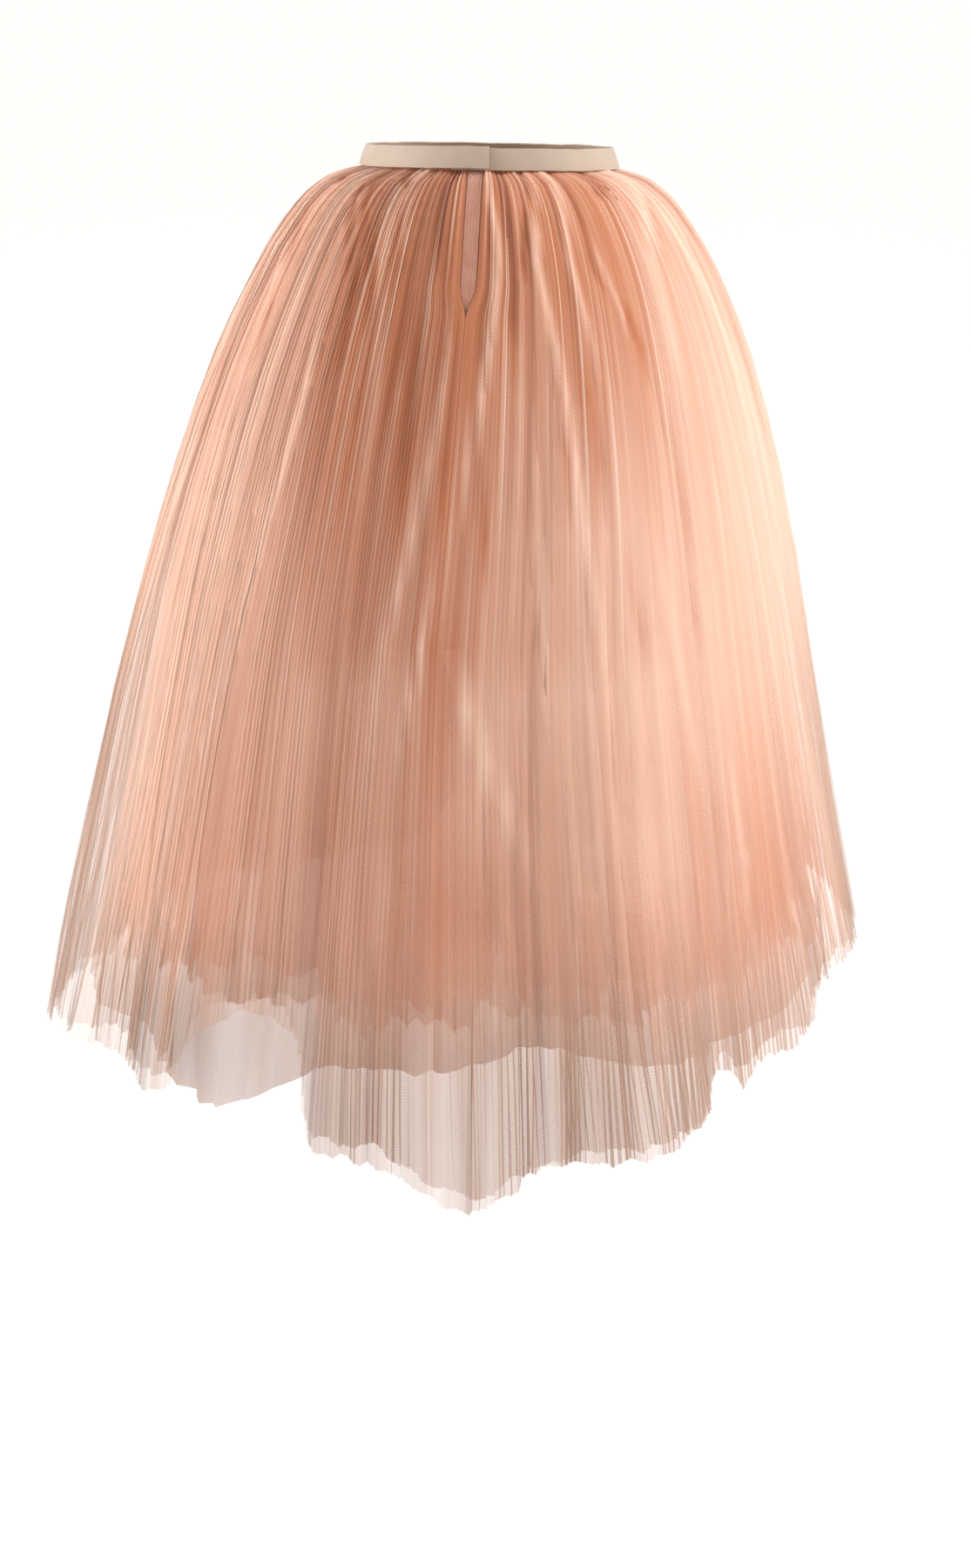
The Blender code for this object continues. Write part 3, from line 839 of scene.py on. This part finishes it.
def tulle(name, tints, contrast, hole_pitch, sheen, edges):
    """Nylon bobbinet tulle, knitted in hexagons of a thread finer than a hair: matt and see-through. It looks
    greyish where few plies lie together and peach where light wanders between many, and painted shade makes
    it deepest in the hollows. The pressed edges of its pleats show as thin pale lines: painted highlights,
    where the cloth also lies thicker. The real holes are about 1 mm, too fine to show, so they are drawn
    larger."""
    thin, pale, deep, hollow, edge = (tuple(tint) for tint in tints)
    made, tree, shader = material(name)
    cloth = add_node(tree, "ShaderNodeUVMap", {"uv_map": "cloth"})
    weave = weave_of(tree, cloth, hole_pitch)
    pleat = shader_field(tree, "pleat")

    # Strands: the folded cloth overlaps in uneven steps, each with painted shade beside the one that lies
    # over it and painted light towards its own edge, which ends in a thin painted highlight. Chance makes
    # some strands strong and lets others fade as they fall
    uneven = add_node(tree, NOISE, {"noise_dimensions": "1D"}, {"W": pleat, "Scale": 0.23, "Detail": 1.0})
    count = add_node(tree, MATH, MULTIPLY, {0: pleat, 1: STRANDS_TO_A_PLEAT})
    count = add_node(tree, MATH, MULTIPLY_ADD, {0: uneven, 1: STRAND_UNEVENNESS, 2: count})
    step = add_node(tree, MATH, {"operation": "FRACT"}, {0: count})
    number = add_node(tree, MATH, {"operation": "FLOOR"}, {0: count})
    fall = add_node(tree, "ShaderNodeSeparateXYZ", None, {0: cloth}).outputs[1]
    spot = add_node(tree, "ShaderNodeCombineXYZ", None, {"X": number, "Y": fall})
    spot = add_node(tree, VECTOR_MATH, MULTIPLY, {0: spot, 1: (0.83, 3.5, 1.0)})
    chance = add_node(tree, NOISE, {"noise_dimensions": "2D"}, {"Vector": spot, "Scale": 1.0, "Detail": 1.0})
    strong = add_node(
        tree, MAP_RANGE, SOFT_STEP, {"Value": chance, "From Min": 0.38, "From Max": 0.68, "To Max": edges}
    )
    strong = add_node(tree, MATH, MULTIPLY, {0: strong, 1: shader_field(tree, "strands")})
    slope = add_node(tree, MATH, {"operation": "SUBTRACT"}, {0: 0.45, 1: step})
    tone = add_node(tree, MATH, MULTIPLY_ADD, {0: slope, 1: strong, 2: shader_field(tree, "tone")})
    line = add_node(
        tree, MAP_RANGE, SOFT_STEP, {"Value": step, "From Min": 0.84, "From Max": 0.96, "To Max": 0.55}
    )
    # A thin painted highlight along each strand's edge, where the cloth also lies thicker
    pressed = add_node(tree, MATH, MULTIPLY, {0: line, 1: strong})

    holes = add_node(tree, MATH, MULTIPLY_ADD, {0: weave, 1: contrast, 2: 1.0})
    alpha = add_node(tree, MATH, MULTIPLY, {0: holes, 1: shader_field(tree, "cover")})
    alpha = add_node(tree, MATH, MULTIPLY_ADD_CLAMPED, {0: pressed, 1: 0.35, 2: alpha})
    # Painted shade: where the tone runs past 1, the colour turns to the hollows' shade
    hollow_shading = add_node(tree, MATH, MULTIPLY_ADD_CLAMPED, {0: tone, 1: 1.4, 2: -1.4})
    colour = add_node(tree, MIX, COLOURS, {"Factor": tone, "A": pale, "B": deep})
    colour = add_node(tree, MIX, COLOURS, {"Factor": hollow_shading, "A": colour, "B": hollow})
    colour = add_node(tree, MIX, COLOURS, {"Factor": shader_field(tree, "plies"), "A": thin, "B": colour})
    colour = add_node(tree, MIX, COLOURS, {"Factor": pressed, "A": colour, "B": edge})
    rough = add_node(tree, MATH, MULTIPLY_ADD, {0: weave, 1: 0.08, 2: 0.74})
    live = {"Base Color": colour, "Emission Color": colour, "Alpha": alpha, "Roughness": rough}
    # A painted glow in the net's own colour stands in for the light that wanders between the plies
    even = {"Emission Strength": NET_GLOW, "IOR": 1.45, "Specular IOR Level": 0.2}
    fill(tree, shader, {**live, **even, "Sheen Weight": sheen, "Sheen Roughness": 0.5})
    return made


def soften(mesh, share):
    """Turns a net's normals towards the plain outline's, because its threads scatter light to all sides."""
    mesh.shade_smooth()
    count = len(mesh.vertices)
    own, out = np.empty(count * 3, np.float32), np.empty(count * 3, np.float32)
    mesh.vertex_normals.foreach_get("vector", own)
    mesh.attributes["out"].data.foreach_get("vector", out)
    blended = unit((1 - share) * own.reshape(-1, 3) + share * out.reshape(-1, 3))
    mesh.normals_split_custom_set_from_vertices(blended.tolist())


def make_net(net, finish, settings):
    """Makes each panel of a net, with its plies, in place of the panel's solid."""
    tree = pleat_tree()
    made = []
    for panel in PANELS:
        grids = [net_grid(net, panel, ply, settings.seed) for ply in range(len(net.ply_shorter))]
        if net.name == "middle_net":
            grids += [flap_grid(flap) for flap in FLAPS if flap.panel == panel.name]
        obj = new_object(f"{net.name}_{panel.name}_cloth", grid_mesh(f"{net.name}_{panel.name}", grids))
        pleats = obj.modifiers.new("pleats", "NODES")
        pleats.node_group = tree
        set_input(pleats, "Pleat depth", settings.pleat_depth / OUTER_NET.pleat_depth)
        set_input(pleats, "Fold over", settings.fold_over)
        set_input(pleats, "Crumple", net.ripple / UNDER_NET.ripple * settings.crumple)
        set_input(pleats, "Finish", finish)
        applied(obj)
        soften(obj.data, NET_SOFTNESS)
        for extra in ("ridge", "pleat_depth", "pleat_shift", "crumple", "out", "side"):
            obj.data.attributes.remove(obj.data.attributes[extra])
        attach(obj, BODY)
        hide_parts(f"{net.name}_{panel.name}")
        hem = float(hem_line(net, np.linspace(-180, 179, 90), 0, settings.seed).mean())
        made.append(obj)
    return made


def walled(obj, wall):
    """Gives an open sheet its thickness inwards."""
    solidify = obj.modifiers.new("wall", "SOLIDIFY")
    solidify.thickness = wall
    solidify.offset = -1
    return applied(obj)


def dressed(obj, finish, node):
    """Finishes a piece and puts it in place of its solid."""
    obj.data.materials.clear()
    obj.data.materials.append(finish)
    obj.data.shade_smooth()
    obj.data.set_sharp_from_angle(angle=math.radians(50))
    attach(obj, BODY)
    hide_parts(node)


def slip_grid(panel):
    """One panel of the slip, which hangs nearly straight."""
    count = round(SLIP_COLUMNS * panel.share)
    shares = np.arange(count + 1) / count
    level = panel_angles(SLIP_SECTIONS, panel, shares, np.full_like(shares, FULL_FALL))
    hem = along(HEMS, "angle", "slip", turned(level))[:, None]
    last = SLIP_FALLS[-1]
    lower = (np.arange(1, SLIP_LOWER_ROWS + 1) / SLIP_LOWER_ROWS)[None, :]
    falls = np.concatenate([np.tile(SLIP_FALLS, (count + 1, 1)), last + (hem - last) * lower], axis=1)
    wide = np.broadcast_to(shares[:, None], falls.shape)
    angles = panel_angles(SLIP_SECTIONS, panel, wide, falls)
    wave = -np.cos(2 * np.pi * wide * round(SLIP_WAVES * panel.share))
    lift = SLIP_SWING * growth(falls, SWING_POWER) * wave
    lift = lift + growth(falls, 0.5) * streaks(angles, falls, Streak(9.0, 0.12, 0.0015), 5)
    points = outline(SLIP_SECTIONS, angles, falls) + lift[..., None] * outward(SLIP_SECTIONS, angles, falls)
    cloth = np.stack([np.radians(angles) * 0.13, falls], axis=-1)
    return tipped(points, falls), cloth, {}, {}


def placket_grid():
    """The placket strip with its pressed ribs, beside the edges of the back panels."""
    columns = 2 * PLACKET_RIBS
    side = np.linspace(-1, 1, columns + 1)[:, None]
    falls = np.linspace(PLACKET_START, PLACKET_END, PLACKET_ROWS)[None, :].repeat(columns + 1, axis=0)
    half_width = along(SKIRT_SECTIONS, "fall", "half_width", falls)
    reach = opening_half_width(falls) - SEAM_GAP
    angles = CENTRE_BACK + np.degrees((centre_back(falls) + side * reach) / half_width)
    swing = OUTER_NET.waist_swing + (OUTER_NET.hem_swing - OUTER_NET.waist_swing) * growth(falls, SWING_POWER)
    rib = (np.arange(columns + 1) % 2)[:, None] * PLACKET_RIB_DEPTH
    lift = rib - swing
    points = outline(SKIRT_SECTIONS, angles, falls) + lift[..., None] * outward(SKIRT_SECTIONS, angles, falls)
    cloth = np.stack([np.broadcast_to(side * OPENING_HALF_WIDTH, falls.shape), falls], axis=-1)
    return tipped(points, falls), cloth, {}, {}


def band_grid():
    """The waistband's outer face. It starts under the lap, goes once round, and ends over its own start."""
    start = CENTRE_BACK - BAND_LAP_ANGLE
    turn = 360 + BAND_LAP_ANGLE
    over = BAND_WALL + BAND_CROWN + SEAM_GAP
    angles = (start + turn * np.arange(BAND_COLUMNS + 1) / BAND_COLUMNS)[:, None]
    heights = np.linspace(1, -1, BAND_ROWS)[None, :]
    lapping = smooth((angles - start - turn + BAND_LAP_ANGLE) / BAND_LAP_RAMP + 1)
    share = (heights + 1) / 2
    half_width = BAND_FOOT_HALF_WIDTH + (BAND_TOP_HALF_WIDTH - BAND_FOOT_HALF_WIDTH) * share
    lift = over * lapping + BAND_WALL + BAND_CROWN * (1 - heights * heights)
    wavy = BAND_WAVE * (wander(angles, 9, 3) + 0.5 * wander(angles, 3.3, 4))
    a = np.radians(angles)
    points = np.stack(
        [
            (half_width + lift) * np.cos(a),
            (half_width * WAIST_DEPTH_TO_WIDTH + lift) * np.sin(a),
            heights * BAND_HEIGHT / 2 + BAND_LAP_RISE * lapping + wavy,
        ],
        axis=-1,
    )
    cloth = np.stack(np.broadcast_arrays(a * BAND_FOOT_HALF_WIDTH, heights * BAND_HEIGHT / 2), axis=-1)
    return tipped(points, np.zeros(points.shape[:2])), cloth, {}, {}


def plain_cloth(name, colour, deep, thread, roughness, bump, ribbed=0.0):
    """Woven cloth: two crossing sets of threads from the cloth's own coordinates, with a soft cloudy tone.
    The threads are finer than 0.5 mm, so they are drawn two to five times coarser."""
    made, tree, shader = material(name)
    cloth = add_node(tree, "ShaderNodeUVMap", {"uv_map": "cloth"})
    weave = weave_of(tree, cloth, thread)
    cloud = add_node(tree, NOISE, None, {"Vector": cloth, "Scale": 60.0, "Detail": 2.0})
    mixed = add_node(tree, MATH, MULTIPLY_ADD_CLAMPED, {0: weave, 1: ribbed, 2: cloud})
    tint = add_node(tree, MIX, COLOURS, {"Factor": mixed, "A": tuple(colour), "B": linear(deep)})
    raised = add_node(tree, "ShaderNodeBump", None, {"Height": weave, "Strength": bump, "Distance": 0.0002})
    rough = add_node(tree, MATH, MULTIPLY_ADD, {0: cloud, 1: 0.15, 2: roughness})
    fill(tree, shader, {"Base Color": tint, "Roughness": rough, "Normal": raised})
    fill(tree, shader, {"IOR": 1.45, "Specular IOR Level": 0.25, "Sheen Weight": 0.2})
    return made


def size_setting(name, description, default):
    """A setting that is a length in metres."""
    return FloatProperty(
        name=name, description=description, default=default, min=0.0, unit="LENGTH", subtype="DISTANCE"
    )


def colour_setting(name, description, text):
    """A setting that is a colour, from its sRGB hex value."""
    return FloatVectorProperty(
        name=name, description=description, default=linear(text), size=4, min=0.0, max=1.0, subtype="COLOR"
    )


class SkirtSettings(bpy.types.PropertyGroup):
    """The sizes and colours that a user would change."""

    pleat_depth: size_setting(
        "Pleat Depth", "How far the outer net's pressed pleats stand out", OUTER_NET.pleat_depth
    )
    crumple: size_setting("Hem Crumple", "How far the under net's soft hem crumples", 0.016)
    fold_over: FloatProperty(
        name="Fold Over",
        description="How far the pressed pleats lie over to one side",
        default=1.0,
        min=0.0,
        max=2.0,
        subtype="FACTOR",
    )
    seed: IntProperty(name="Seed", description="Picks the way that the loose folds fall", default=7, min=0)
    outer_colour: colour_setting("Outer Net Colour", "The outer net where few plies lie together", "#F0CAB4")
    outer_shade: colour_setting("Outer Net Shade", "The outer net where many plies lie together", "#C57F5C")
    middle_colour: colour_setting("Middle Net Colour", "The smooth net under the outer one", "#EDBA9E")
    under_colour: colour_setting("Under Net Colour", "The dense gathered net", "#E2A17C")
    slip_colour: colour_setting("Slip Colour", "The short lining", "#C08C7A")
    placket_colour: colour_setting("Placket Colour", "The strip at the centre back", "#CB9883")
    ribbon_colour: colour_setting("Ribbon Colour", "The waistband's satin ribbon", "#B5A291")
    key_power: FloatProperty(
        name="Key Light", description="The right light's power", default=108.0, min=0.0, unit="POWER"
    )
    fill_power: FloatProperty(
        name="Fill Light", description="The left light's power", default=96.0, min=0.0, unit="POWER"
    )


class SKIRT_OT_outer_net(bpy.types.Operator):
    """Make the accordion pleated outer net"""

    bl_idname = "skirt.outer_net"
    bl_label = "Outer Net"

    def execute(self, context):
        # Pressed nylon net: matt, with a faint sheen and painted highlights on its pale pleat edges
        settings = context.scene.skirt_settings
        body = settings.outer_colour, settings.outer_shade
        # Tints: where the net hangs alone, where few plies and where many lie together, the hollows' painted
        # shade and the pleat edges' painted highlight
        tints = linear("#AC8C7A"), *body, linear("#925847"), linear("#F8E2D4")
        make_net(OUTER_NET, tulle("pleated_nylon_tulle", tints, 0.12, 0.0028, 0.15, 0.75), settings)
        return {"FINISHED"}


class SKIRT_OT_middle_net(bpy.types.Operator):
    """Make the smooth middle net"""

    bl_idname = "skirt.middle_net"
    bl_label = "Middle Net"

    def execute(self, context):
        # Flat nylon net: even and misty, its mesh just visible
        settings = context.scene.skirt_settings
        body = settings.middle_colour, linear("#C87A54")
        # Tints: where the net hangs alone, where few plies and where many lie together, the hollows' painted
        # shade and the pleat edges' painted highlight
        tints = linear("#84634F"), *body, linear("#9C6251"), linear("#EBC4AE")
        make_net(MIDDLE_NET, tulle("smooth_nylon_tulle", tints, 0.3, 0.0030, 0.1, 0.0), settings)
        return {"FINISHED"}


class SKIRT_OT_under_net(bpy.types.Operator):
    """Make the dense gathered under net"""

    bl_idname = "skirt.under_net"
    bl_label = "Under Net"

    def execute(self, context):
        # Crumpled nylon net: dense and matt, deeper than the outer ones
        settings = context.scene.skirt_settings
        body = settings.under_colour, linear("#BE6C46")
        # Tints: where the net hangs alone, where few plies and where many lie together, the hollows' painted
        # shade and the pleat edges' painted highlight
        tints = linear("#C58C6C"), *body, linear("#96573F"), linear("#EDB796")
        make_net(UNDER_NET, tulle("gathered_nylon_tulle", tints, 0.12, 0.0030, 0.05, 0.3), settings)
        return {"FINISHED"}


class SKIRT_OT_slip(bpy.types.Operator):
    """Make the short slip"""

    bl_idname = "skirt.slip"
    bl_label = "Slip"

    def execute(self, context):
        # Thin woven lining: smooth, mauve and nearly opaque
        colour = context.scene.skirt_settings.slip_colour
        finish = plain_cloth("woven_mauve_lining", colour, "#AC7868", 0.0012, 0.55, 0.4)
        for panel in PANELS:
            name = f"slip_{panel.name}"
            obj = walled(new_object(f"{name}_cloth", grid_mesh(name, [slip_grid(panel)])), SLIP_WALL)
            dressed(obj, finish, name)
            length = round(float(along(HEMS, "angle", "slip", np.linspace(-180, 179, 90)).mean()) + TUCK, 3)
        return {"FINISHED"}


class SKIRT_OT_placket(bpy.types.Operator):
    """Make the placket at the centre back"""

    bl_idname = "skirt.placket"
    bl_label = "Placket"

    def execute(self, context):
        # Two nets laid together: matt, with a coarse ribbed grain
        colour = context.scene.skirt_settings.placket_colour
        finish = plain_cloth("doubled_nylon_net", colour, "#9F6A58", 0.0026, 0.7, 0.6, 0.6)
        mesh = grid_mesh("back_placket", [placket_grid()])
        obj = walled(new_object("back_placket_strip", mesh), PLACKET_WALL)
        dressed(obj, finish, "back_placket")
        return {"FINISHED"}


class SKIRT_OT_waistband(bpy.types.Operator):
    """Make the ribbon waistband with its lap"""

    bl_idname = "skirt.waistband"
    bl_label = "Waistband"

    def execute(self, context):
        # Woven satin ribbon: beige, smooth and softly shining
        colour = context.scene.skirt_settings.ribbon_colour
        finish = plain_cloth("satin_ribbon", colour, "#A99684", 0.0008, 0.45, 0.3)
        obj = walled(new_object("waistband_ribbon", grid_mesh("waistband", [band_grid()])), BAND_WALL)
        dressed(obj, finish, "waistband")
        return {"FINISHED"}


class SKIRT_OT_stage(bpy.types.Operator):
    """Make the floor, the lights and the camera"""

    bl_idname = "skirt.stage"
    bl_label = "Stage"

    def execute(self, context):
        scene = context.scene
        scene.view_settings.view_transform = "Standard"
        scene.cycles.transparent_max_bounces = 16
        scene.cycles.diffuse_bounces = 3
        world = bpy.data.worlds.new("studio_white")
        scene.world = world
        world.use_nodes = True
        tree = world.node_tree
        fill(tree, tree.nodes["Background"], {"Color": (1, 0.985, 0.97, 1), "Strength": 0.62})

        place = (0, 0, -FLOOR_BELOW)
        bpy.ops.mesh.primitive_circle_add(vertices=64, radius=30, fill_type="NGON", location=place)
        floor = context.object
        floor.name = "floor"
        # Painted studio floor: matt, and glowing evenly, so it looks nearly white and shows hardly any shadow
        finish, tree, shader = material("pale_studio_floor")
        fill(tree, shader, {"Base Color": linear("#7F7B78"), "Roughness": 0.9})
        fill(tree, shader, {"Emission Color": (1, 0.99, 0.98, 1), "Emission Strength": 0.85})
        floor.data.materials.append(finish)

        for name, place, size, power in (
            ("key", (2.6, -0.35, 1.1), 2.0, scene.skirt_settings.key_power),
            ("fill", (-2.6, -0.25, 0.7), 2.0, scene.skirt_settings.fill_power),
        ):
            light = bpy.data.lights.new(name, "AREA")
            light.shape = "SQUARE"
            light.size = size
            light.energy = power
            lamp = new_object(name, light)
            lamp.location = place
            aim = Vector((0, 0, -0.35)) - Vector(place)
            lamp.rotation_euler = aim.to_track_quat("-Z", "Y").to_euler()

        camera = bpy.data.cameras.new("camera")
        camera.sensor_width = SENSOR
        camera.lens = FOCAL_PIXELS / PHOTO_HEIGHT * SENSOR
        eye = new_object("camera", camera)
        turn = Matrix.Rotation(math.radians(-CAMERA_YAW), 4, "Z")
        turn = turn @ Matrix.Rotation(math.radians(90 - CAMERA_PITCH), 4, "X")
        turn = turn @ Matrix.Rotation(math.radians(CAMERA_ROLL), 4, "Z")
        eye.matrix_world = Matrix.Translation((0, -CAMERA_BACK, CAMERA_UP)) @ turn
        scene.camera = eye
        return {"FINISHED"}


class SKIRT_PT_panel(bpy.types.Panel):
    """Lists the steps that build the skirt"""

    bl_label = "Tulle Skirt"
    bl_idname = "SKIRT_PT_panel"
    bl_space_type = "VIEW_3D"
    bl_region_type = "UI"
    bl_category = "Skirt"

    def draw(self, context):
        for name in SkirtSettings.__annotations__:
            self.layout.prop(context.scene.skirt_settings, name)
        for step in STEPS:
            self.layout.operator(step.bl_idname)


STEPS = (
    SKIRT_OT_waistband,
    SKIRT_OT_placket,
    SKIRT_OT_slip,
    SKIRT_OT_under_net,
    SKIRT_OT_middle_net,
    SKIRT_OT_outer_net,
    SKIRT_OT_stage,
)
CLASSES = (SkirtSettings, *STEPS, SKIRT_PT_panel)


def register():
    for item in CLASSES:
        bpy.utils.register_class(item)
    bpy.types.Scene.skirt_settings = PointerProperty(type=SkirtSettings)


def unregister():
    del bpy.types.Scene.skirt_settings
    for item in reversed(CLASSES):
        bpy.utils.unregister_class(item)


def main():
    """Builds every piece and the stage."""
    register()
    for step in STEPS:
        group, name = step.bl_idname.split(".")
        getattr(getattr(bpy.ops, group), name)()


if __name__ == "__main__":
    main()
